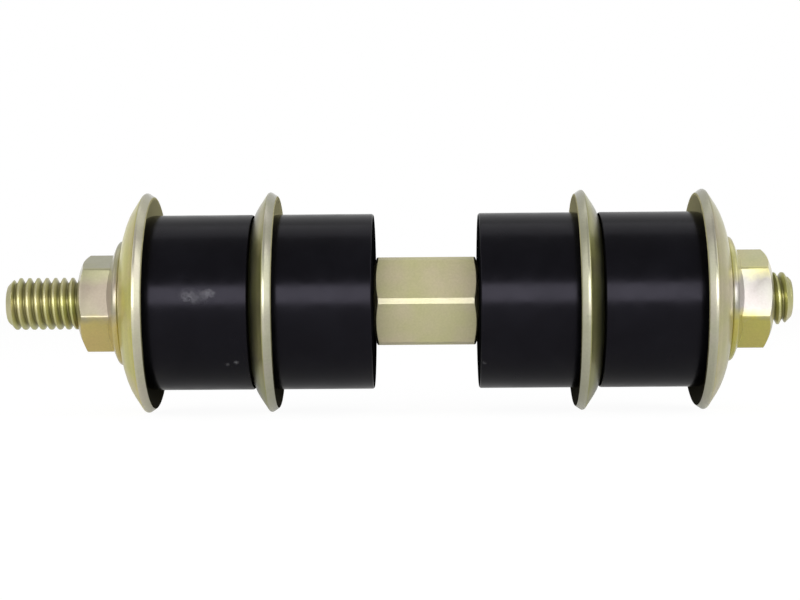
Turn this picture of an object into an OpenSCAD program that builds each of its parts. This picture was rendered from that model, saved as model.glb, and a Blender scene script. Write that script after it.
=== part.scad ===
// Bolt type stabilizer link: a hex bar turned down to a stud at both ends.
// Each stud carries an inner bush, an inner cup washer, an outer bush, an outer cup washer and a flange nut.
// The rod lies along X with the middle of its hex at the origin.
// +X is the short end, -X the long end, +Z is up, and a corner of the hex faces -Y, the front.

/* [Rod] */
// Major diameter of the studs' thread
thread_d = 9.525; // [8:0.025:12]
// Pitch of the thread, which sets how far the chamfer at each tip goes down
thread_pitch = 1.5875; // [1:0.0025:1.75]
// Width of the middle hex across its flats
hex_af = 15.875; // [14:0.025:20]
// How far the corners of the middle hex are blunted
hex_blunt = 0.3; // [0.1:0.05:0.6]
// Length of the middle hex
hex_len = 19.05; // [12:0.05:30]
// Diameter of the round end faces of the hex
hex_face_d = 13; // [10.2:0.1:15]
// Slope of the turned chamfer on the ends of the hex, from the end face
hex_chamfer_angle = 21; // [15:1:45]
// Thread left free beyond the nut at the long end
long_free = 13.4; // [4:0.1:30]
// Thread left free beyond the nut at the short end
short_free = 3.8; // [2.5:0.1:20]
// How far the tip chamfer goes below the root of the thread
tip_below_root = 0.3; // [0.1:0.05:1]

/* [Cup washers] */
// Outer diameter of the cup washers
washer_d = 40.2; // [37:0.1:46]
// Thickness of their sheet
washer_t = 2; // [1:0.1:3]
// Diameter of the flat hub in the middle
hub_d = 21; // [16:0.1:24]
// Radius of the bend between hub and skirt, on the outside
bend_r = 12.9; // [5:0.1:14]
// Slope of the skirt, from the plane of the hub
dish_angle = 33.9; // [20:0.1:45]
// Radius of both edges of their rim
rim_edge_r = 0.5; // [0.2:0.05:0.9]

/* [Bushes] */
// Outer diameter of the rubber bushes
bush_d = 32; // [28:0.1:36]
// Length of a bush along its bore
bush_len = 20.7; // [15:0.1:30]
// How much shorter the long end's outer bush sits, with the dome of the inner washer pressed into it
long_squeeze = 0.3; // [0:0.05:2]
// How much shorter the short end's outer bush sits
short_squeeze = 0.9; // [0:0.05:2]
// Radius of the edge of a bush that sits in a cup
cup_edge_r = 3; // [0.8:0.1:4]
// Radius of its other edge
bush_edge_r = 0.4; // [0.2:0.05:1.5]

/* [Flange nuts] */
// Width of the nuts across their flats
nut_af = 15.875; // [14:0.025:20]
// Height of a nut from its seat to its outer face
nut_h = 8.2; // [7:0.1:12]
// Diameter of the flat face that the outer chamfer leaves
nut_face_d = 12.8; // [12.2:0.1:13.8]
// Slope of the outer chamfer, from the face
nut_chamfer_angle = 26; // [15:1:40]
// Diameter of the flange
flange_d = 22.8; // [21:0.1:26]
// Thickness of the flange at its rim
flange_rim = 1.1; // [0.8:0.05:2]
// Slope of the top of the flange
flange_angle = 24; // [10:1:32]
// Bevel on the rim of the flange
flange_bevel = 0.3; // [0.1:0.05:0.35]
// How far the countersinks of the bore open beyond the thread
countersink = 0.6; // [0.3:0.05:0.9]
// Angle by which a corner of the long end's nut stands above the front
long_nut_angle = -16.7; // [-30:0.1:30]
// Angle by which a corner of the short end's nut stands above the front
short_nut_angle = -22; // [-30:0.1:30]

/* [Fits] */
// Gap all round between a stud and the bore of a bush
bush_fit = 0.1; // [0.05:0.05:0.5]
// Gap all round between a stud and the hole of a cup washer
washer_fit = 0.4; // [0.1:0.05:0.8]
// Gap all round between a stud and the bore of a nut
nut_fit = 0.05; // [0.02:0.01:0.1]
// Gap between a washer and the shaped end of a bush
seat_gap = 0.1; // [0.05:0.05:0.3]

/* [Hidden] */
$fn = 96;
// Straight steps in each drawn arc
arc_steps = 12;
// Cuts and turned blanks reach this far past what they cut
cut_past = 1;
// Turns from +Z to the outward direction of each end
long_end_angle = -90;
short_end_angle = 90;
zinc = "#b8a873";
rubber = "#222126";

thread_r = thread_d / 2;
// Share of the pitch that an external thread is deep
thread_depth = 0.6134 * thread_pitch;
tip_chamfer = thread_depth + tip_below_root;
hub_r = hub_d / 2;
washer_r = washer_d / 2;
bush_r = bush_d / 2;
flange_r = flange_d / 2;

// Places along a stud, outwards from the middle of the hex
hex_end = hex_len / 2;
inner_hub = hex_end + bush_len + seat_gap + washer_t;
long_outer_hub = inner_hub + bush_len - long_squeeze + 2 * seat_gap + washer_t;
short_outer_hub = inner_hub + bush_len - short_squeeze + 2 * seat_gap + washer_t;

// Radius of the corners of a hex with this width across its flats
function corner_r(af) = af / 2 / cos(30);

// Points of an arc, without its first one.
// Angles turn from outwards along the stud (0) to straight away from it (90).
function arc_after(centre, r, from, to) = [
    for (i = [1:arc_steps])
        let (a = from + (to - from) * i / arc_steps)
        centre + r * [sin(a), cos(a)]
];

// The dish: surfaces parallel to a cup washer's outer face, as radius and height from the hub's outer face.
// Depth is measured into the sheet, so 0 is the outer face and washer_t the inner one.
// Slope of such a surface at radius r
function dish_slope(depth, r) = max(0, min(dish_angle, asin(min(1, (r - hub_r) / (bend_r - depth)))));

// Point of such a surface at radius r
function dish_point(depth, r) =
    let (a = dish_slope(depth, r))
    let (bend = bend_r - depth)
    let (arc_r = a > 0 ? hub_r + bend * sin(a) : r)
    [r, bend * cos(a) - bend_r - (r - arc_r) * tan(a)];

// Points of such a surface from radius r_from on the hub to r_to on the bend or the skirt
function dish_line(depth, r_from, r_to) =
    let (a = dish_slope(depth, r_to))
    let (bend_centre = [hub_r, -bend_r])
    concat(
        [[r_from, -depth], [hub_r, -depth]],
        arc_after(bend_centre, bend_r - depth, 0, a),
        a < dish_angle ? [] : [dish_point(depth, r_to)]
    );

function reversed(points) = [for (i = [len(points) - 1:-1:0]) points[i]];

function raised(points, height) = [for (p = points) p + [0, height]];

// Stands children, drawn with +Z outwards, on one end of the rod
module on_end(end_angle) {
    rotate([0, end_angle, 0])
        children();
}

// Hex prism with a corner to the front
module hex_prism(af, h) {
    rotate(30)
        cylinder(h = h, r = corner_r(af), $fn = 6);
}

// A turned blank whose end face has radius face_r, chamfered back to the radius of its side
module chamfered_blank(face_r, side_r, h, angle) {
    rotate_extrude()
        polygon([[0, 0], [side_r, 0], [side_r, h - (side_r - face_r) * tan(angle)], [face_r, h], [0, h]]);
}

module half_hex() {
    intersection() {
        hex_prism(hex_af, hex_end);
        chamfered_blank(hex_face_d / 2, corner_r(hex_af) - hex_blunt, hex_end, hex_chamfer_angle);
    }
}

module stud(outer_hub, free) {
    tip = outer_hub + nut_h + free;
    rotate_extrude()
        polygon([
            [0, 0],
            [thread_r, 0],
            [thread_r, tip - tip_chamfer],
            [thread_r - tip_chamfer, tip],
            [0, tip],
        ]);
}

module link_rod() {
    color(zinc) {
        on_end(long_end_angle) {
            half_hex();
            stud(long_outer_hub, long_free);
        }
        on_end(short_end_angle) {
            half_hex();
            stud(short_outer_hub, short_free);
        }
    }
}

// Dished sheet with a blunt rim, its hub's outer face at this height
module cup_washer(hub_height) {
    hole_r = thread_r + washer_fit;
    slope = dish_slope(rim_edge_r, washer_r - rim_edge_r);
    into_sheet = [-sin(slope), -cos(slope)];
    outer_edge = dish_point(rim_edge_r, washer_r - rim_edge_r);
    inner_edge = outer_edge + (washer_t - 2 * rim_edge_r) * into_sheet;
    outside = dish_line(0, hole_r, outer_edge.x + rim_edge_r * sin(slope));
    rim = concat(
        arc_after(outer_edge, rim_edge_r, slope, slope + 90),
        [inner_edge + rim_edge_r * [sin(slope + 90), cos(slope + 90)]],
        arc_after(inner_edge, rim_edge_r, slope + 90, slope + 180)
    );
    // The rim's last point is the inside's last one too
    inside = reversed(dish_line(washer_t, hole_r, inner_edge.x - rim_edge_r * sin(slope)));
    inside_rest = [for (i = [1:len(inside) - 1]) inside[i]];
    color(zinc)
        rotate_extrude()
            polygon(raised(concat(outside, rim, inside_rest), hub_height));
}

// Outline of the crowned outer end of a bush, which fills the cup below a washer hub at this height
function crown(hub_height) =
    let (depth = washer_t + seat_gap)
    let (edge_centre = dish_point(depth + cup_edge_r, bush_r - cup_edge_r))
    let (slope = dish_slope(depth + cup_edge_r, bush_r - cup_edge_r))
    raised(
        concat(
            dish_line(depth, thread_r + bush_fit, edge_centre.x + cup_edge_r * sin(slope)),
            arc_after(edge_centre, cup_edge_r, slope, 90)
        ),
        hub_height
    );

// Outline of the dished inner end of a bush, pressed over a washer hub at this height
function dished(hub_height) =
    let (depth = -seat_gap)
    let (edge_centre = dish_point(depth - bush_edge_r, bush_r - bush_edge_r))
    let (slope = dish_slope(depth - bush_edge_r, bush_r - bush_edge_r))
    raised(
        concat(
            dish_line(depth, thread_r + bush_fit, edge_centre.x - bush_edge_r * sin(slope)),
            arc_after(edge_centre, bush_edge_r, 180 + slope, 90)
        ),
        hub_height
    );

// Outline of the flat inner end of a bush, which stands on the shoulder of the hex
function flat_end(height) = concat(
    [[thread_r + bush_fit, height], [bush_r - bush_edge_r, height]],
    arc_after([bush_r - bush_edge_r, height + bush_edge_r], bush_edge_r, 180, 90)
);

module bush(inner_end, outer_end) {
    color(rubber)
        rotate_extrude()
            polygon(concat(inner_end, reversed(outer_end)));
}

module inner_bush(end_angle) {
    on_end(end_angle)
        bush(flat_end(hex_end), crown(inner_hub));
}

module inner_washer(end_angle) {
    on_end(end_angle)
        cup_washer(inner_hub);
}

module outer_bush(end_angle, outer_hub) {
    on_end(end_angle)
        bush(dished(inner_hub), crown(outer_hub));
}

module outer_washer(end_angle, outer_hub) {
    on_end(end_angle)
        cup_washer(outer_hub);
}

module flange() {
    rotate_extrude()
        polygon([
            [0, 0],
            [flange_r - flange_bevel, 0],
            [flange_r, flange_bevel],
            [flange_r, flange_rim - flange_bevel],
            [flange_r - flange_bevel, flange_rim],
            [0, flange_rim + (flange_r - flange_bevel) * tan(flange_angle)],
        ]);
}

// Threaded bore as a plain hole, with a countersink at both faces
module nut_bore() {
    bore_r = thread_r + nut_fit;
    wide_r = thread_r + countersink;
    depth = wide_r - bore_r;
    rotate_extrude()
        polygon([
            [0, -cut_past],
            [wide_r, -cut_past],
            [wide_r, 0],
            [bore_r, depth],
            [bore_r, nut_h - depth],
            [wide_r, nut_h],
            [wide_r, nut_h + cut_past],
            [0, nut_h + cut_past],
        ]);
}

module nut(end_angle, outer_hub, corner_angle) {
    nut_blank_r = corner_r(nut_af) + cut_past;
    color(zinc)
        rotate([-corner_angle, 0, 0])
            on_end(end_angle)
                translate([0, 0, outer_hub])
                    difference() {
                        union() {
                            intersection() {
                                hex_prism(nut_af, nut_h);
                                chamfered_blank(nut_face_d / 2, nut_blank_r, nut_h, nut_chamfer_angle);
                            }
                            flange();
                        }
                        nut_bore();
                    }
}

link_rod();
inner_bush(long_end_angle);  // long_end_inner_bush
inner_washer(long_end_angle);  // long_end_inner_washer
outer_bush(long_end_angle, long_outer_hub);  // long_end_outer_bush
outer_washer(long_end_angle, long_outer_hub);  // long_end_outer_washer
nut(long_end_angle, long_outer_hub, long_nut_angle);  // long_end_nut
inner_bush(short_end_angle);  // short_end_inner_bush
inner_washer(short_end_angle);  // short_end_inner_washer
outer_bush(short_end_angle, short_outer_hub);  // short_end_outer_bush
outer_washer(short_end_angle, short_outer_hub);  // short_end_outer_washer
nut(short_end_angle, short_outer_hub, short_nut_angle);  // short_end_nut
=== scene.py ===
"""Looks of a bolt-type stabilizer link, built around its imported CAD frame."""

import math

import bmesh
import bpy
from mathutils import Matrix, Vector


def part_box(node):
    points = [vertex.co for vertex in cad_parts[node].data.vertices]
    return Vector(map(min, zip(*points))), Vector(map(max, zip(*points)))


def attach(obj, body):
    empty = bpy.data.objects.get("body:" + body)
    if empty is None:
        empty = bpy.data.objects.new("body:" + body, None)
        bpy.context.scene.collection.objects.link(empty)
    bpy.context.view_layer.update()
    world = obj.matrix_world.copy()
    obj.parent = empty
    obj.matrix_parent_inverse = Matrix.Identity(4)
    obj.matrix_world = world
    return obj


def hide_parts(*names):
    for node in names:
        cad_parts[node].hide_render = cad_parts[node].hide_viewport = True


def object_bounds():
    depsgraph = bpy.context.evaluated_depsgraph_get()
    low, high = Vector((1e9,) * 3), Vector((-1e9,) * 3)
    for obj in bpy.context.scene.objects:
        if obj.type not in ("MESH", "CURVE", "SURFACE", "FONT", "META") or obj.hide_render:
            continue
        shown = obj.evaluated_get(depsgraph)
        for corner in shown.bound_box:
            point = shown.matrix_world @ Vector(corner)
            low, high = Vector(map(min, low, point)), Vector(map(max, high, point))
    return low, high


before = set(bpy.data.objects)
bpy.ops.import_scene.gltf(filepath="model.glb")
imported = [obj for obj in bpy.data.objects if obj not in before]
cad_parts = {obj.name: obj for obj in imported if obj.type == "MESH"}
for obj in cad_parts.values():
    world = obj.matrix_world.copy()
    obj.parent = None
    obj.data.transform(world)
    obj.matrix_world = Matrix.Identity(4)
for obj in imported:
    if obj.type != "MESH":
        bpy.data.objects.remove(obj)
cad_low, cad_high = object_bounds()

MM = 0.001
FULL_TURN = 2 * math.pi
LONG_END, SHORT_END = -1, 1

# Rod
HEX_ACROSS_FLATS = 15.875 * MM
HEX_LENGTH = 19.05 * MM
HEX_CORNER_SETBACK = 0.6 * MM
HEX_FACE_RADIUS = 6.5 * MM
HEX_CHAMFER = math.radians(21)
STUD_RADIUS = 4.7625 * MM
PITCH = 1.5875 * MM
THREAD_DEPTH = 0.58 * PITCH
THREAD_FLANK = math.radians(30)
CREST_WIDTH = 0.2 * PITCH
CREST_ROUNDING = 0.04 * MM
ROOT_ROUNDING = 0.03 * MM
THREAD_STEPS = 64
THREAD_START = 45 * MM
RUN_OUT = 2.5 * PITCH
TIP_CHAMFER = 1.274 * MM
TIP_RINGS = 12

# Cup washers
WASHER_RADIUS = 20.1 * MM
SHEET = 2 * MM
HUB_RADIUS = 10.5 * MM
HUB_BEND = 12.9 * MM
SKIRT_SLOPE = math.radians(33.9)
RIM_ROUNDING = 0.5 * MM
WASHER_HOLE = STUD_RADIUS + 0.4 * MM
HOLE_ROUNDING = 0.2 * MM

# Bushes, with the radii at which their dome and cup ends stop bending
BUSH_RADIUS = 16 * MM
BUSH_EDGE = 0.4 * MM
BUSH_CUP_EDGE = 3 * MM
BUSH_BORE = STUD_RADIUS + 0.1 * MM
BUSH_SEAT = 0.1 * MM
DOME_STOP = BUSH_RADIUS - 1.5 * BUSH_EDGE
CUP_STOP = BUSH_RADIUS - 0.75 * BUSH_CUP_EDGE

# Flange nuts
NUT_ACROSS_FLATS = 15.875 * MM
NUT_FACE_RADIUS = 6.4 * MM
NUT_FACE_ROUNDING = 0.9 * MM
NUT_CHAMFER = math.radians(26)
NUT_EDGE = 0.35 * MM
NUT_EDGE_STEPS = 3
FLANGE_RADIUS = 11.4 * MM
FLANGE_RIM = 1.1 * MM
FLANGE_SLOPE = math.radians(24)
FLANGE_BEVEL = 0.3 * MM
FLANGE_ROUNDING = 0.9 * FLANGE_BEVEL
NUT_THREAD_PLAY = 0.05 * MM
NUT_THREAD_DEPTH = 0.5 * PITCH
COUNTERSINK = STUD_RADIUS + 0.6 * MM
CORNER_TURN = {LONG_END: math.radians(-16.7), SHORT_END: math.radians(-22)}

# Meshes
LATHE_STEPS = 144
CORNER_STEPS = 6
THREAD_CORNER_STEPS = 2
OVERLAP = 1 * MM
WELD = 0.002 * MM
SHARP = math.radians(30)
ROD_SHARP = math.radians(24)

# How far along X faces point on the hex's ends, in a cup, on its cut rim and on a bush's inner end
HEX_END_FACING = 0.999
CUP_FACING = -0.7
RIM_FACING = 0.4
BUSH_END_FACING = -0.9

# Zinc tones, from olive over khaki to rosy; the nuts' only cloud the tones of their flats
HEX_TONES = (0.56, 0.53, 0.27), (0.58, 0.53, 0.3), (0.61, 0.535, 0.34)
STUD_TONES = (0.58, 0.58, 0.25), (0.62, 0.6, 0.3), (0.65, 0.61, 0.36)
LONG_WASHER_TONES = (0.63, 0.6, 0.145), (0.66, 0.61, 0.175), (0.68, 0.6, 0.23)
SHORT_WASHER_TONES = (0.54, 0.52, 0.24), (0.57, 0.53, 0.28), (0.59, 0.525, 0.33)
INNER_WASHER_TONES = (0.45, 0.45, 0.17), (0.48, 0.465, 0.2), (0.5, 0.46, 0.23)
RIM_TONES = (0.495, 0.485, 0.34), (0.52, 0.51, 0.37), (0.54, 0.51, 0.4)
# Painted light: a lighter copy of the cut rim's tones for the long outer washer, whose rim catches more light
LIT_RIM_TONES = (0.6, 0.575, 0.41), (0.63, 0.605, 0.44), (0.65, 0.605, 0.47)
NUT_CLOUDS = (0.93, 0.94, 0.86), (1, 0.98, 0.96), (1, 0.94, 0.97)

# Roughness of each zinc, refraction of its clear film, metallic share and share of the film
HEX_SHEEN = 0.44, 1.75, 0.4, 1.0
STUD_SHEEN = 0.42, 1.4, 0.95, 0.3
WASHER_SHEEN = 0.36, 1.45, 0.95, 0.5
RIM_SHEEN = 0.36, 1.45, 0.95, 1.0
NUT_SHEEN = 0.38, 1.6, 0.75, 1.0

# Tones of the nuts' lower, middle and upper flats: painted light and shade, as each flat catches the studio
# light
LONG_NUT_LIGHT_TONES = (0.61, 0.5, 0.165), (0.395, 0.355, 0.265), (0.475, 0.465, 0.29)
SHORT_NUT_LIGHT_TONES = (0.53, 0.49, 0.09), (0.36, 0.345, 0.315), (0.74, 0.72, 0.32)

# Painted shade and light, and rubber
# Painted shade in the thread grooves
GROOVE_SHADE_TONE = (0.18, 0.165, 0.06)
# Painted shade on the inner washers, between the outer bush and the cut rim
RIM_SHADE_TONE = (0.04, 0.041, 0.02)
INNER_RIM_SHADE = 0.88
# Painted light at the top of each cup's inside and painted shade at its bottom
CUP_LIT_TONE, CUP_SHADED_TONE = (0.44, 0.41, 0.23), (0.018, 0.016, 0.007)
RUBBER_TONE, BLOOM_TONE = (0.0015, 0.0015, 0.002), (0.003, 0.003, 0.004)
END_TONE, END_BLOOM_TONE = (0.002, 0.002, 0.0025), (0.006, 0.006, 0.007)
RUBBER_GLOSS_TINT = (0.84, 0.79, 1, 1)

# Features per metre of the finishes' noises
ZINC_CLOUDS, ZINC_GRAIN, ZINC_MARKS, ZINC_DULLNESS, ZINC_RIPPLES = 150, 2600, 420, 330, 700
PRESS_RINGS = 900
CUP_PATCHES, NUT_PATCHES = 300, 260
RUBBER_BLOOM, RUBBER_DULLNESS, RUBBER_GRAIN, SCUFF_EDGES = 150, 260, 900, 700
END_BLOOM, END_DULLNESS = 400, 900

# Scuffs and nicks of the bushes: place, reach, how far drawn out along X, and brightness
SCUFFS = (
    ((-41.4 * MM, -15.9 * MM, 1 * MM), 1.3 * MM, 1.6, 0.17),
    ((-38.3 * MM, -15.9 * MM, 1.5 * MM), 1.3 * MM, 1.4, 0.14),
    ((-40.2 * MM, -15.9 * MM, 1.2 * MM), 2 * MM, 2.4, 0.04),
    ((-33.7 * MM, -11.9 * MM, -10.7 * MM), 0.7 * MM, 1, 0.12),
    ((-35.3 * MM, -11.6 * MM, -11 * MM), 0.6 * MM, 1, 0.05),
    ((10.3 * MM, -11.6 * MM, -11 * MM), 0.7 * MM, 1, 0.08),
)

# Studio; a softbox has its place, width and height in metres, and its radiance
CAMERA_LENS = 84.76
CAMERA_PLACE = (0.78 * MM, -345 * MM, 0.2 * MM)
CAMERA_TURN = (math.radians(90), math.radians(0.44), math.radians(0.93))
SOFTBOXES = {
    "front_softbox": ((0, -0.86, 0.14), 1.5, 0.37, 4.2),
    "left_softbox": ((-0.78, -0.42, 0.1), 0.4, 1.7, 0.8),
    "right_softbox": ((0.78, -0.42, 0.1), 0.4, 1.7, 1.3),
    "top_softbox": ((0, 0.25, 0.85), 1.2, 0.4, 0.5),
}
FLOOR_HALF_SIZE = 3
FLOOR_PAPER = (0.85, 0.85, 0.85, 1)
FLOOR_WHITE = 1.07
FLOOR_GLOW = 0.88
FLOOR_MIRRORED = 0.25
ROOM_FILL = 0.4
WHITE = (1, 1, 1, 1)


# Shaping


def corner_radius(across_flats):
    return across_flats / 2 / math.cos(math.radians(30))


def points_of(items):
    return [item for item in items if isinstance(item, bmesh.types.BMVert)]


def edges_of(items):
    return [item for item in items if isinstance(item, bmesh.types.BMEdge)]


def everything(shape):
    return shape.verts[:] + shape.edges[:] + shape.faces[:]


def turn(shape, angle, axis):
    bmesh.ops.rotate(shape, verts=shape.verts, cent=(0, 0, 0), matrix=Matrix.Rotation(angle, 3, axis))


def weld(shape):
    bmesh.ops.remove_doubles(shape, verts=shape.verts, dist=WELD)
    bmesh.ops.recalc_face_normals(shape, faces=shape.faces)


def wire(shape, corners, start=0, closed=True, steps=CORNER_STEPS):
    """Draws a section over the X axis from corners of (along X, radius, rounding)."""
    points = [shape.verts.new((start + along, 0, radius)) for along, radius, rounding in corners]
    following = points[1:] + points[:1] if closed else points[1:]
    for first, second in zip(points, following):
        shape.edges.new((first, second))
    for point, (along, radius, rounding) in zip(points, corners):
        if rounding:
            round_corner(shape, point, rounding, steps)


def round_corner(shape, point, length, steps):
    """Rounds a corner of a wire section, starting this far from it along both of its edges."""
    bmesh.ops.bevel(
        shape,
        geom=[point],
        offset=length,
        offset_type="OFFSET",
        segments=steps,
        profile=0.5,
        affect="VERTICES",
        material=-1,
        clamp_overlap=False,
    )


def turned(corners):
    """A solid turned about X from a closed section, given as corners of (along X, radius, rounding)."""
    shape = bmesh.new()
    wire(shape, corners)
    on_axis = [edge for edge in shape.edges if all(v.co.z < WELD for v in edge.verts)]
    bmesh.ops.delete(shape, geom=on_axis, context="EDGES")
    bmesh.ops.spin(
        shape,
        geom=shape.verts[:] + shape.edges[:],
        cent=(0, 0, 0),
        axis=(1, 0, 0),
        angle=FULL_TURN,
        steps=LATHE_STEPS,
        use_merge=True,
    )
    weld(shape)
    return shape


def mirrored_to(shape, end):
    """Puts a shape drawn towards +X on this end of the rod."""
    if end == LONG_END:
        turn(shape, math.pi, "Z")
    return shape


def solid_of(name, shape):
    mesh = bpy.data.meshes.new(name)
    shape.to_mesh(mesh)
    shape.free()
    solid = bpy.data.objects.new(name, mesh)
    bpy.context.scene.collection.objects.link(solid)
    return solid


def carved(blank, tool, operation):
    """What a blank becomes when a tool is joined to it, cut from it or kept in common with it."""
    solids = [solid_of("blank", blank), solid_of("tool", tool)]
    carving = solids[0].modifiers.new("carving", "BOOLEAN")
    carving.operation = operation
    carving.solver = "EXACT"
    carving.object = solids[1]
    graph = bpy.context.evaluated_depsgraph_get()
    mesh = bpy.data.meshes.new_from_object(solids[0].evaluated_get(graph))
    result = bmesh.new()
    result.from_mesh(mesh)
    bpy.data.meshes.remove(mesh)
    for solid in solids:
        bpy.data.meshes.remove(solid.data)
    weld(result)
    return result


def sliced(shape, along, direction=0):
    """Cuts a shape across X, drops what lies past the cut in this direction, and returns its edges."""
    cut = bmesh.ops.bisect_plane(
        shape,
        geom=everything(shape),
        dist=WELD / 10,
        plane_co=(along, 0, 0),
        plane_no=(direction or 1, 0, 0),
        clear_outer=bool(direction),
    )
    return edges_of(cut["geom_cut"])


def hex_prism(across_flats, start, end, setback, steps=1):
    """Hex bar along X, corners to the front and back, cut or rounded from this far back."""
    shape = bmesh.new()
    bmesh.ops.create_circle(shape, cap_ends=True, segments=6, radius=corner_radius(across_flats))
    turn(shape, math.pi / 2, "Y")
    bmesh.ops.translate(shape, verts=shape.verts, vec=(start, 0, 0))
    grown = bmesh.ops.extrude_face_region(shape, geom=shape.faces[:])["geom"]
    bmesh.ops.translate(shape, verts=points_of(grown), vec=(end - start, 0, 0))
    long_edges = [e for e in shape.edges if abs(e.verts[0].co.x - e.verts[1].co.x) > WELD]
    bmesh.ops.bevel(
        shape,
        geom=long_edges,
        offset=setback,
        offset_type="OFFSET",
        segments=steps,
        profile=0.5,
        affect="EDGES",
        material=-1,
    )
    bmesh.ops.recalc_face_normals(shape, faces=shape.faces)
    return shape


# The rod


def thread_spiral(start, end, depth=THREAD_DEPTH, play=0):
    """Thread about X that reaches past both ends, from one pitch of its outline, grown by play."""
    crest_radius, crest_width = STUD_RADIUS + play, CREST_WIDTH + 2 * play
    groove = (PITCH - crest_width) / 2
    flank = depth * math.tan(THREAD_FLANK)
    root = crest_radius - depth
    outline = [
        (0, root, 0),
        (groove - flank, root, ROOT_ROUNDING),
        (groove, crest_radius, CREST_ROUNDING),
        (groove + crest_width, crest_radius, CREST_ROUNDING),
        (groove + crest_width + flank, root, ROOT_ROUNDING),
        (PITCH, root, 0),
    ]
    shape = bmesh.new()
    first = start - 2 * PITCH
    wire(shape, outline, first, closed=False, steps=THREAD_CORNER_STEPS)
    bmesh.ops.spin(
        shape,
        geom=shape.verts[:] + shape.edges[:],
        cent=(0, 0, 0),
        axis=(1, 0, 0),
        dvec=(PITCH / THREAD_STEPS, 0, 0),
        angle=FULL_TURN,
        steps=THREAD_STEPS,
    )
    turns = 1
    while first + (turns - 1) * PITCH < end:
        copies = bmesh.ops.duplicate(shape, geom=everything(shape))["geom"]
        bmesh.ops.translate(shape, verts=points_of(copies), vec=(turns * PITCH, 0, 0))
        turns *= 2
    weld(shape)
    return shape


def stud(tip):
    """Thread along +X from its run-out to a chamfered tip, with a plain shank, left open at the hex."""
    shape = thread_spiral(THREAD_START, tip)
    inner = sliced(shape, THREAD_START, -1)
    bmesh.ops.contextual_create(shape, geom=sliced(shape, tip, 1))
    for ring in range(1, TIP_RINGS):
        sliced(shape, tip - TIP_CHAMFER * ring / TIP_RINGS)
    for point in shape.verts:
        radius = point.co.yz.length
        share = min(1, (point.co.x - THREAD_START) / RUN_OUT)
        wanted = STUD_RADIUS - (STUD_RADIUS - radius) * share
        wanted = min(wanted, STUD_RADIUS - TIP_CHAMFER + tip - point.co.x)
        point.co.yz *= wanted / radius
    shank = bmesh.ops.extrude_edge_only(shape, edges=inner)["geom"]
    for point in points_of(shank):
        point.co.x = HEX_LENGTH / 2
    return shape


def hex_waist():
    """The hex with chamfered ends, open at both."""
    half = HEX_LENGTH / 2
    outside = corner_radius(HEX_ACROSS_FLATS) + OVERLAP
    back = (outside - HEX_FACE_RADIUS) * math.tan(HEX_CHAMFER)
    blank = turned([
        (-half, 0, 0),
        (-half, HEX_FACE_RADIUS, 0),
        (-half + back, outside, 0),
        (half - back, outside, 0),
        (half, HEX_FACE_RADIUS, 0),
        (half, 0, 0),
    ])
    bar = hex_prism(HEX_ACROSS_FLATS, -half, half, HEX_CORNER_SETBACK)
    shape = carved(bar, blank, "INTERSECT")
    ends = [face for face in shape.faces if abs(face.normal.x) > HEX_END_FACING]
    bmesh.ops.delete(shape, geom=ends, context="FACES")
    return shape


def on_plane(edge, along):
    return all(abs(point.co.x - along) < WELD for point in edge.verts)


def link_rod():
    """Faces are marked 0 on the hex, 1 on the threads and 2 on the tips."""
    low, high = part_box("link_rod")
    rod = hex_waist()
    for shape in (stud(high.x), mirrored_to(stud(-low.x), LONG_END)):
        mesh = bpy.data.meshes.new("stud")
        shape.to_mesh(mesh)
        shape.free()
        rod.from_mesh(mesh)
        bpy.data.meshes.remove(mesh)
    for shoulder in (-HEX_LENGTH / 2, HEX_LENGTH / 2):
        rings = [edge for edge in rod.edges if edge.is_boundary and on_plane(edge, shoulder)]
        bmesh.ops.bridge_loops(rod, edges=rings)
    weld(rod)
    for face in rod.faces:
        along = face.calc_center_median().x
        on_hex = abs(along) < HEX_LENGTH / 2
        on_tip = not low.x + TIP_CHAMFER < along < high.x - TIP_CHAMFER
        face.material_index = 0 if on_hex else 2 if on_tip else 1
    return rod


# Cup washers and bushes


def dish_slope(depth, radius):
    """Slope of a cup at this radius, this deep below its outer face."""
    share = (radius - HUB_RADIUS) / (HUB_BEND - depth)
    return min(SKIRT_SLOPE, math.asin(min(1, share)))


def dish_corner(hub, depth, slope=SKIRT_SLOPE):
    """Where the hub plane of a cup meets the line of its skirt, and how far its bend reaches from there."""
    reach = (HUB_BEND - depth) * math.tan(slope / 2)
    return hub - depth, HUB_RADIUS + reach, reach


def on_skirt(corner, radius, slope=SKIRT_SLOPE):
    """The place along X at which a skirt that starts at this corner has this radius."""
    return corner[0] - (radius - corner[1]) * math.tan(slope)


def cup_washer(hub):
    """Faces are marked 0 on the outside, 1 in the cup and 2 on the cut rim."""
    outer, inner = dish_corner(hub, 0), dish_corner(hub, SHEET)
    middle = dish_corner(hub, SHEET / 2)
    rim = SHEET / 2
    rim_radius = WASHER_RADIUS - rim
    rim_along = on_skirt(middle, rim_radius)
    rise, run = math.sin(SKIRT_SLOPE), math.cos(SKIRT_SLOPE)
    past = RIM_ROUNDING + (rim - RIM_ROUNDING) * (1 - rise) / run
    down, out = (-rise * past, run * past), (run * rim, rise * rim)
    shape = turned([
        (hub, WASHER_HOLE, HOLE_ROUNDING),
        outer,
        (rim_along + down[0] + out[0], rim_radius + down[1] + out[1], RIM_ROUNDING),
        (rim_along + down[0] - out[0], rim_radius + down[1] - out[1], RIM_ROUNDING),
        inner,
        (hub - SHEET, WASHER_HOLE, HOLE_ROUNDING),
    ])
    for face in shape.faces:
        if face.normal.x < CUP_FACING:
            face.material_index = 1
        elif face.normal.x < RIM_FACING and face.calc_center_median().yz.length > HUB_RADIUS:
            face.material_index = 2
    return shape


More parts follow.
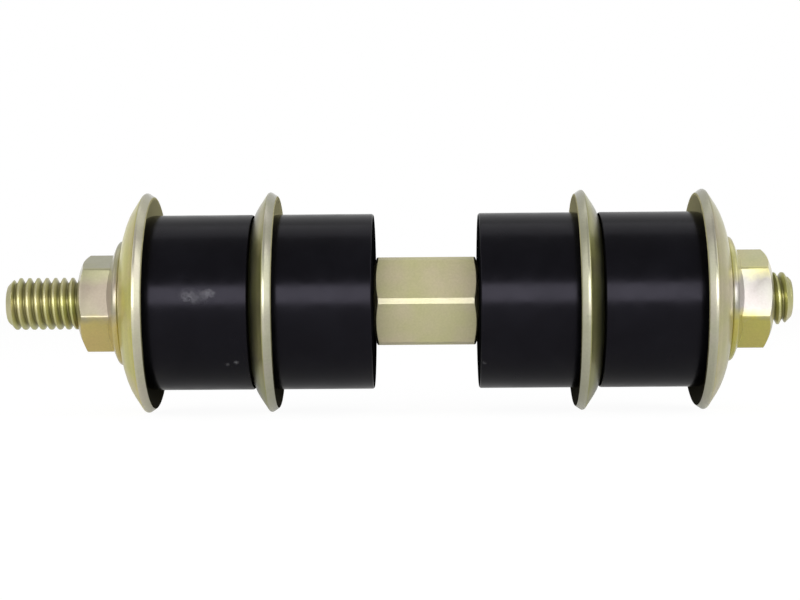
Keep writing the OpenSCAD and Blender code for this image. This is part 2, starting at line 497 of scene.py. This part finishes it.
def bush_end(hub, depth, edge, bend_stop, side):
    """Section of a bush's end from its bore to its edge, shaped to a cup: over it, side 1, or in it, -1."""
    slope = dish_slope(depth, bend_stop)
    corner = dish_corner(hub, depth, slope)
    rounding = edge * math.tan((math.pi / 2 + side * slope) / 2)
    return [
        (corner[0], BUSH_BORE, HOLE_ROUNDING),
        corner,
        (on_skirt(corner, BUSH_RADIUS, slope), BUSH_RADIUS, rounding),
    ]


def bush(outer_hub, inner_hub=None):
    """A bush that fills the cup of the outer hub and stands on the hex, or is pressed over an inner hub.

    Faces are marked 1 on the flat inner end and 0 elsewhere.
    """
    shoulder = HEX_LENGTH / 2
    if inner_hub is None:
        inner_end = [(shoulder, BUSH_BORE, HOLE_ROUNDING), (shoulder, BUSH_RADIUS, BUSH_EDGE)]
    else:
        inner_end = bush_end(inner_hub, -BUSH_SEAT, BUSH_EDGE, DOME_STOP, 1)
    cup_end = bush_end(outer_hub, SHEET + BUSH_SEAT, BUSH_CUP_EDGE, CUP_STOP, -1)
    shape = turned(inner_end + cup_end[::-1])
    for face in shape.faces:
        face.material_index = int(face.normal.x < BUSH_END_FACING)
    return shape


# Flange nuts


def nut_tap(seat, face):
    """Threaded bar that cuts a nut's thread to run on the stud's with a little play."""
    shape = thread_spiral(THREAD_START, face + OVERLAP, NUT_THREAD_DEPTH, NUT_THREAD_PLAY)
    for along, direction in ((seat - OVERLAP, -1), (face + OVERLAP, 1)):
        bmesh.ops.contextual_create(shape, geom=sliced(shape, along, direction))
    weld(shape)
    return shape


def flange_nut(seat, face, corner_turn):
    """Hex flange nut on the +X side, its corner turned up from the front by corner_turn."""
    outside = corner_radius(NUT_ACROSS_FLATS) + OVERLAP
    back = (outside - NUT_FACE_RADIUS) * math.tan(NUT_CHAMFER)
    blank = turned([
        (seat, 0, 0),
        (seat, outside, 0),
        (face - back, outside, 0),
        (face, NUT_FACE_RADIUS, NUT_FACE_ROUNDING),
        (face, 0, 0),
    ])
    bar = hex_prism(NUT_ACROSS_FLATS, seat, face, NUT_EDGE, NUT_EDGE_STEPS)
    shape = carved(bar, blank, "INTERSECT")
    flat = FLANGE_RADIUS - FLANGE_BEVEL
    flange = turned([
        (seat, 0, 0),
        (seat, FLANGE_RADIUS, FLANGE_BEVEL),
        (seat + FLANGE_RIM - FLANGE_BEVEL, FLANGE_RADIUS, FLANGE_ROUNDING),
        (seat + FLANGE_RIM, flat, FLANGE_ROUNDING),
        (seat + FLANGE_RIM + flat * math.tan(FLANGE_SLOPE), 0, 0),
    ])
    shape = carved(shape, flange, "UNION")
    core = STUD_RADIUS - THREAD_DEPTH
    depth = COUNTERSINK - core
    drill = turned([
        (seat - OVERLAP, 0, 0),
        (seat - OVERLAP, COUNTERSINK + OVERLAP, 0),
        (seat + depth, core, 0),
        (face - depth, core, 0),
        (face + OVERLAP, COUNTERSINK + OVERLAP, 0),
        (face + OVERLAP, 0, 0),
    ])
    shape = carved(shape, drill, "DIFFERENCE")
    turn(shape, -corner_turn, "X")
    return carved(shape, nut_tap(seat, face), "DIFFERENCE")


# Finishes


def feed(tree, socket, value):
    if isinstance(value, bpy.types.NodeSocket):
        tree.links.new(value, socket)
    else:
        socket.default_value = value


def add_node(tree, kind, links=None, **settings):
    """A new node with these settings, fed from sockets or plain values by the names of its inputs."""
    node = tree.nodes.new(kind)
    for name, value in settings.items():
        setattr(node, name, value)
    for name, value in (links or {}).items():
        feed(tree, node.inputs[name], value)
    return node


def worked_out(tree, operation, first, second):
    return add_node(tree, "ShaderNodeMath", {0: first, 1: second}, operation=operation).outputs[0]


def held_range(tree, value, low, high, to_low=0.0, to_high=1.0):
    """Maps a value from low and high to other limits, held at them."""
    links = {"Value": value, "From Min": low, "From Max": high, "To Min": to_low, "To Max": to_high}
    return add_node(tree, "ShaderNodeMapRange", links, clamp=True).outputs["Result"]


class Finish:
    """A procedural material on Object coordinates, with short ways to add its nodes."""

    def __init__(self, name):
        self.material = bpy.data.materials.new(name)
        self.material.use_nodes = True
        self.tree = self.material.node_tree
        self.shader = self.tree.nodes["Principled BSDF"]
        self.place = self.node("ShaderNodeTexCoord").outputs["Object"]

    def node(self, kind, links=None, **settings):
        return add_node(self.tree, kind, links, **settings)

    def set(self, **values):
        for name, value in values.items():
            feed(self.tree, self.shader.inputs[name.replace("_", " ")], value)

    def noise(self, scale, detail, stretch=(1, 1, 1), rough=0.5, warp=0.0):
        """Noise with features of about 1 / scale metres, drawn out along the axes by stretch."""
        shares = tuple(1 / s for s in stretch)
        spot = self.node("ShaderNodeMapping", {"Vector": self.place, "Scale": shares})
        links = {
            "Vector": spot.outputs["Vector"],
            "Scale": scale,
            "Detail": detail,
            "Roughness": rough,
            "Distortion": warp,
        }
        return self.node("ShaderNodeTexNoise", links).outputs["Fac"]

    def spread(self, value, low, high, to_low=0.0, to_high=1.0):
        return held_range(self.tree, value, low, high, to_low, to_high)

    def tones(self, value, *stops):
        ramp = self.node("ShaderNodeValToRGB", {"Fac": value})
        elements = ramp.color_ramp.elements
        while len(elements) < len(stops):
            elements.new(0.5)
        for element, (position, colour) in zip(elements, stops):
            element.position = position
            element.color = (*colour, 1)
        return ramp.outputs["Color"]

    def blend(self, share, first, second, way="MIX"):
        mix = self.node("ShaderNodeMix", data_type="RGBA", blend_type=way)
        for socket, value in zip((mix.inputs[0], mix.inputs[6], mix.inputs[7]), (share, first, second)):
            feed(self.tree, socket, (*value, 1) if isinstance(value, tuple) else value)
        return mix.outputs[2]

    def math(self, operation, first, second):
        return worked_out(self.tree, operation, first, second)

    def vector(self, operation, first, second):
        return self.node("ShaderNodeVectorMath", {0: first, 1: second}, operation=operation).outputs["Vector"]

    def length(self, vector):
        return self.node("ShaderNodeVectorMath", {0: vector}, operation="LENGTH").outputs["Value"]

    def from_axis(self):
        """Distance from the rod's axis, in metres."""
        return self.length(self.vector("MULTIPLY", self.place, (0, 1, 1)))

    def near(self, spot, reach, drawn_out):
        """1 at a spot, falling to 0 at this distance from it, or at drawn_out times as far along X."""
        offset = self.vector("SUBTRACT", self.place, spot)
        away = self.length(self.vector("MULTIPLY", offset, (1 / drawn_out, 1, 1)))
        return self.spread(away, 0.0, reach, 1.0, 0.0)

    def patchy_height(self, scale, shift):
        """Height over the rod's axis, shifted up and down by as much as this in patches."""
        height = self.node("ShaderNodeSeparateXYZ", {"Vector": self.place}).outputs["Z"]
        return self.math("ADD", height, self.spread(self.noise(scale, 3), 0.3, 0.7, -shift, shift))

    def bump(self, height, depth, strength):
        links = {"Height": height, "Distance": depth, "Strength": strength}
        self.set(Normal=self.node("ShaderNodeBump", links).outputs["Normal"])


def yellow_zinc(name, tones, sheen):
    """Yellow zinc plating, soft clouds of colour on half matt metal under a clear film, and its colour."""
    olive, khaki, rosy = tones
    roughness, film, metallic, film_share = sheen
    finish = Finish(name)
    clouds = finish.noise(ZINC_CLOUDS, 2)
    colour = finish.tones(clouds, (0.34, olive), (0.5, khaki), (0.66, rosy))
    grain = finish.noise(ZINC_GRAIN, 2)
    shade = finish.spread(grain, 0.3, 0.7, 0.95, 1.04)
    colour = finish.blend(1.0, colour, shade, "MULTIPLY")
    marks = finish.spread(finish.noise(ZINC_MARKS, 4, stretch=(4, 1, 1), rough=0.6), 0.67, 0.75)
    colour = finish.blend(finish.math("MULTIPLY", marks, 0.3), colour, tuple(0.6 * c for c in olive))
    dull = finish.spread(finish.noise(ZINC_DULLNESS, 3), 0.35, 0.7, roughness - 0.04, roughness + 0.06)
    finish.set(Metallic=metallic, Roughness=dull, Specular_IOR_Level=0.2)
    finish.set(Coat_Weight=film_share, Coat_Roughness=0.18, Coat_IOR=film)
    finish.bump(finish.math("ADD", grain, finish.noise(ZINC_RIPPLES, 2)), 0.006 * MM, 0.5)
    return finish, colour


def plain_plating(name, tones, sheen):
    finish, zinc = yellow_zinc(name, tones, sheen)
    finish.set(Base_Color=zinc)
    return finish.material


def thread_plating():
    """The studs' greener zinc, with painted shade in the grooves."""
    finish, zinc = yellow_zinc("thread_yellow_zinc", STUD_TONES, STUD_SHEEN)
    root, unshaded = STUD_RADIUS - THREAD_DEPTH, STUD_RADIUS - 0.3 * THREAD_DEPTH
    # Painted shade: the zinc darkens towards the groove roots.
    groove_shade = finish.spread(finish.from_axis(), root, unshaded, 0.88, 0.0)
    finish.set(Base_Color=finish.blend(groove_shade, zinc, GROOVE_SHADE_TONE))
    return finish.material


def washer_plating(name, tones, rim_shade=0):
    """Pressed zinc with faint rings, and painted shade of this strength below the rim, where the outer bush
    meets it.
    """
    finish, zinc = yellow_zinc(name, tones, WASHER_SHEEN)
    radius = finish.from_axis()
    links = {"W": radius, "Scale": PRESS_RINGS, "Detail": 2.0}
    rings = finish.node("ShaderNodeTexNoise", links, noise_dimensions="1D").outputs["Fac"]
    colour = finish.blend(1.0, zinc, finish.spread(rings, 0.35, 0.65, 0.95, 1.02), "MULTIPLY")
    # Painted shade on the ring between the outer bush and the cut rim.
    if rim_shade:
        full_shade, unshaded = WASHER_RADIUS - 3.4 * MM, WASHER_RADIUS - 1.3 * MM
        colour = finish.blend(finish.spread(radius, full_shade, unshaded, rim_shade, 0.0), colour, RIM_SHADE_TONE)
    finish.set(Base_Color=colour)
    return finish.material


def cup_inside():
    """Inside of a cup washer, matt, with painted light at the top and painted shade, darkest at the bottom.
    """
    finish = Finish("cup_inside_shaded_zinc")
    # Painted light and shade: a lit tone at the top and a shaded tone at the bottom, with a patchy edge.
    cup_shade = finish.spread(finish.patchy_height(CUP_PATCHES, 2 * MM), -14 * MM, 10 * MM, 1.0, 0.0)
    finish.set(Base_Color=finish.blend(cup_shade, CUP_LIT_TONE, CUP_SHADED_TONE))
    finish.set(Metallic=0.1, Roughness=0.6, Specular_IOR_Level=0.0)
    return finish.material


def nut_plating(name, lower, middle, upper):
    """Bright zinc on a nut, with painted light and shade: its tone changes from its lower to its upper flats
    as they face the lamps.
    """
    finish, zinc = yellow_zinc(name, NUT_CLOUDS, NUT_SHEEN)
    level = finish.spread(finish.patchy_height(NUT_PATCHES, 0.8 * MM), -8 * MM, 8 * MM)
    # Painted light and shade by height over the axis.
    tone = finish.tones(level, (0.25, lower), (0.4, middle), (0.7, middle), (0.85, upper))
    finish.set(Base_Color=finish.blend(1.0, zinc, tone, "MULTIPLY"))
    return finish.material


def bush_rubber():
    """Smooth black rubber with a faint bloom, and pale scuffs and nicks in a few places."""
    finish = Finish("black_bush_rubber")
    bloom = finish.spread(finish.noise(RUBBER_BLOOM, 4, warp=0.5), 0.4, 0.75)
    colour = finish.blend(bloom, RUBBER_TONE, BLOOM_TONE)
    ragged = finish.spread(finish.noise(SCUFF_EDGES, 4, rough=0.65), 0.35, 0.65, 0.3, 1.4)
    for spot, reach, drawn_out, tone in SCUFFS:
        scuffed = finish.math("MULTIPLY", finish.near(spot, reach, drawn_out), ragged)
        colour = finish.blend(finish.spread(scuffed, 0.2, 0.9), colour, (tone, tone, 1.06 * tone))
    finish.set(Base_Color=colour, Specular_IOR_Level=0.18, Specular_Tint=RUBBER_GLOSS_TINT)
    finish.set(Roughness=finish.spread(finish.noise(RUBBER_DULLNESS, 4), 0.3, 0.75, 0.17, 0.28))
    finish.bump(finish.noise(RUBBER_GRAIN, 3), 0.02 * MM, 0.25)
    return finish.material


def bush_end_rubber():
    """Matt rubber of the bushes' inner ends."""
    finish = Finish("matt_end_rubber")
    colour = finish.tones(finish.noise(END_BLOOM, 3), (0.35, END_TONE), (0.7, END_BLOOM_TONE))
    finish.set(Base_Color=colour, Specular_IOR_Level=0.0)
    finish.set(Roughness=finish.spread(finish.noise(END_DULLNESS, 2), 0.3, 0.7, 0.85, 1.0))
    return finish.material


# Placing


def set_piece(name, shape, node, body, finishes, sharp=SHARP):
    piece = solid_of(name, shape)
    piece.data.shade_smooth()
    piece.data.set_sharp_from_angle(angle=sharp)
    for finish in finishes:
        piece.data.materials.append(finish)
    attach(piece, body)
    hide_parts(node)


rod_zinc = [
    plain_plating("hex_yellow_zinc", HEX_TONES, HEX_SHEEN),
    thread_plating(),
    plain_plating("stud_tip_zinc", STUD_TONES, STUD_SHEEN),
]
black_rubber = [bush_rubber(), bush_end_rubber()]
cup_zinc = cup_inside()
rim_zinc = plain_plating("cut_rim_zinc", RIM_TONES, RIM_SHEEN)
lit_rim_zinc = plain_plating("lit_cut_rim_zinc", LIT_RIM_TONES, RIM_SHEEN)
long_washer_zinc = washer_plating("long_outer_washer_zinc", LONG_WASHER_TONES)
short_washer_zinc = washer_plating("short_outer_washer_zinc", SHORT_WASHER_TONES)
inner_washer_zinc = washer_plating("inner_washer_zinc", INNER_WASHER_TONES, INNER_RIM_SHADE)
inner_washer_finishes = [inner_washer_zinc, cup_zinc, rim_zinc]
outer_washer_finishes = {
    LONG_END: [long_washer_zinc, cup_zinc, lit_rim_zinc],
    SHORT_END: [short_washer_zinc, cup_zinc, rim_zinc],
}
nut_finishes = {
    LONG_END: [nut_plating("long_end_nut_zinc", *LONG_NUT_LIGHT_TONES)],
    SHORT_END: [nut_plating("short_end_nut_zinc", *SHORT_NUT_LIGHT_TONES)],
}

set_piece("threaded_rod", link_rod(), "link_rod", "rod", rod_zinc, ROD_SHARP)
for end, end_name in ((LONG_END, "long_end"), (SHORT_END, "short_end")):
    inner_hub = max(end * corner.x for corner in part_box(f"{end_name}_inner_washer"))
    outer_hub = max(end * corner.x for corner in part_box(f"{end_name}_outer_washer"))
    nut_face = max(end * corner.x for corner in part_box(f"{end_name}_nut"))
    nut = flange_nut(outer_hub, nut_face, CORNER_TURN[end] * end)
    pieces = {
        "inner_bush": (bush(inner_hub), "bush_rubber", black_rubber),
        "inner_washer": (cup_washer(inner_hub), "washer_plating", inner_washer_finishes),
        "outer_bush": (bush(outer_hub, inner_hub), "bush_rubber", black_rubber),
        "outer_washer": (cup_washer(outer_hub), "washer_plating", outer_washer_finishes[end]),
        "nut": (nut, "nut_plating", nut_finishes[end]),
    }
    for piece_name, (shape, slot, finishes) in pieces.items():
        node = f"{end_name}_{piece_name}"
        set_piece(f"{node}_piece", mirrored_to(shape, end), node, node, finishes)


# Studio


def studio_camera():
    lens = bpy.data.cameras.new("camera")
    lens.sensor_width = 36
    lens.lens = CAMERA_LENS
    camera = bpy.data.objects.new("camera", lens)
    camera.location = CAMERA_PLACE
    camera.rotation_euler = CAMERA_TURN
    bpy.context.scene.collection.objects.link(camera)
    bpy.context.scene.camera = camera


def softbox(name, place, width, height, radiance):
    """A soft lamp that faces the link, of this brightness all over its front."""
    lamp = bpy.data.lights.new(name, "AREA")
    lamp.shape = "RECTANGLE"
    lamp.size, lamp.size_y = width, height
    lamp.energy = radiance * math.pi * width * height
    box = bpy.data.objects.new(name, lamp)
    box.location = place
    box.rotation_euler = (-Vector(place)).to_track_quat("-Z", "Y").to_euler()
    bpy.context.scene.collection.objects.link(box)


def mirrored_rays(tree, rays):
    return worked_out(tree, "MAXIMUM", rays["Is Glossy Ray"], rays["Is Transmission Ray"])


def mixed(tree, share, first, second, output):
    """Shows a mix of two shaders on the tree's output."""
    mix = add_node(tree, "ShaderNodeMixShader", {0: share, 1: first, 2: second})
    tree.links.new(mix.outputs["Shader"], tree.nodes[output].inputs["Surface"])


def white_floor(level):
    """White paper that keeps the link's shadow, and looks white to the camera and in the metal."""
    finish = bpy.data.materials.new("white_floor")
    finish.use_nodes = True
    tree = finish.node_tree
    paper = tree.nodes["Principled BSDF"]
    paper.inputs["Base Color"].default_value = FLOOR_PAPER
    paper.inputs["Roughness"].default_value = 0.9
    paper.inputs["Specular IOR Level"].default_value = 0
    glow = add_node(tree, "ShaderNodeEmission", {"Color": WHITE, "Strength": FLOOR_WHITE})
    rays = tree.nodes.new("ShaderNodeLightPath").outputs
    seen = worked_out(tree, "MULTIPLY", rays["Is Camera Ray"], FLOOR_GLOW)
    mirrored = worked_out(tree, "MULTIPLY", mirrored_rays(tree, rays), FLOOR_MIRRORED)
    share = worked_out(tree, "MAXIMUM", seen, mirrored)
    mixed(tree, share, paper.outputs["BSDF"], glow.outputs["Emission"], "Material Output")
    shape = bmesh.new()
    bmesh.ops.create_grid(shape, x_segments=1, y_segments=1, size=FLOOR_HALF_SIZE)
    bmesh.ops.translate(shape, verts=shape.verts, vec=(0, 0, level))
    floor = solid_of("floor", shape)
    floor.data.materials.append(finish)


def white_room():
    """A dim white room with a white backdrop behind the link, which the camera sees in all directions."""
    world = bpy.data.worlds.new("white_room")
    world.use_nodes = True
    tree = world.node_tree
    fill = tree.nodes["Background"]
    fill.inputs["Color"].default_value = WHITE
    fill.inputs["Strength"].default_value = ROOM_FILL
    backdrop = add_node(tree, "ShaderNodeBackground", {"Color": WHITE, "Strength": 1})
    rays = tree.nodes.new("ShaderNodeLightPath").outputs
    direction = tree.nodes.new("ShaderNodeTexCoord").outputs["Generated"]
    apart = add_node(tree, "ShaderNodeSeparateXYZ", {"Vector": direction}).outputs
    behind = held_range(tree, apart["Y"], 0.1, 0.8)
    low_down = held_range(tree, apart["Z"], 0.4, 0.05, 0.3, 1.0)
    backdrop_place = worked_out(tree, "MULTIPLY", behind, low_down)
    mirrored = worked_out(tree, "MULTIPLY", mirrored_rays(tree, rays), backdrop_place)
    share = worked_out(tree, "MAXIMUM", rays["Is Camera Ray"], mirrored)
    mixed(tree, share, fill.outputs["Background"], backdrop.outputs["Background"], "World Output")
    bpy.context.scene.world = world


studio_camera()
for name, (place, width, height, radiance) in SOFTBOXES.items():
    softbox(name, place, width, height, radiance)
white_floor(cad_low.z)
white_room()
bpy.context.scene.view_settings.view_transform = "Standard"
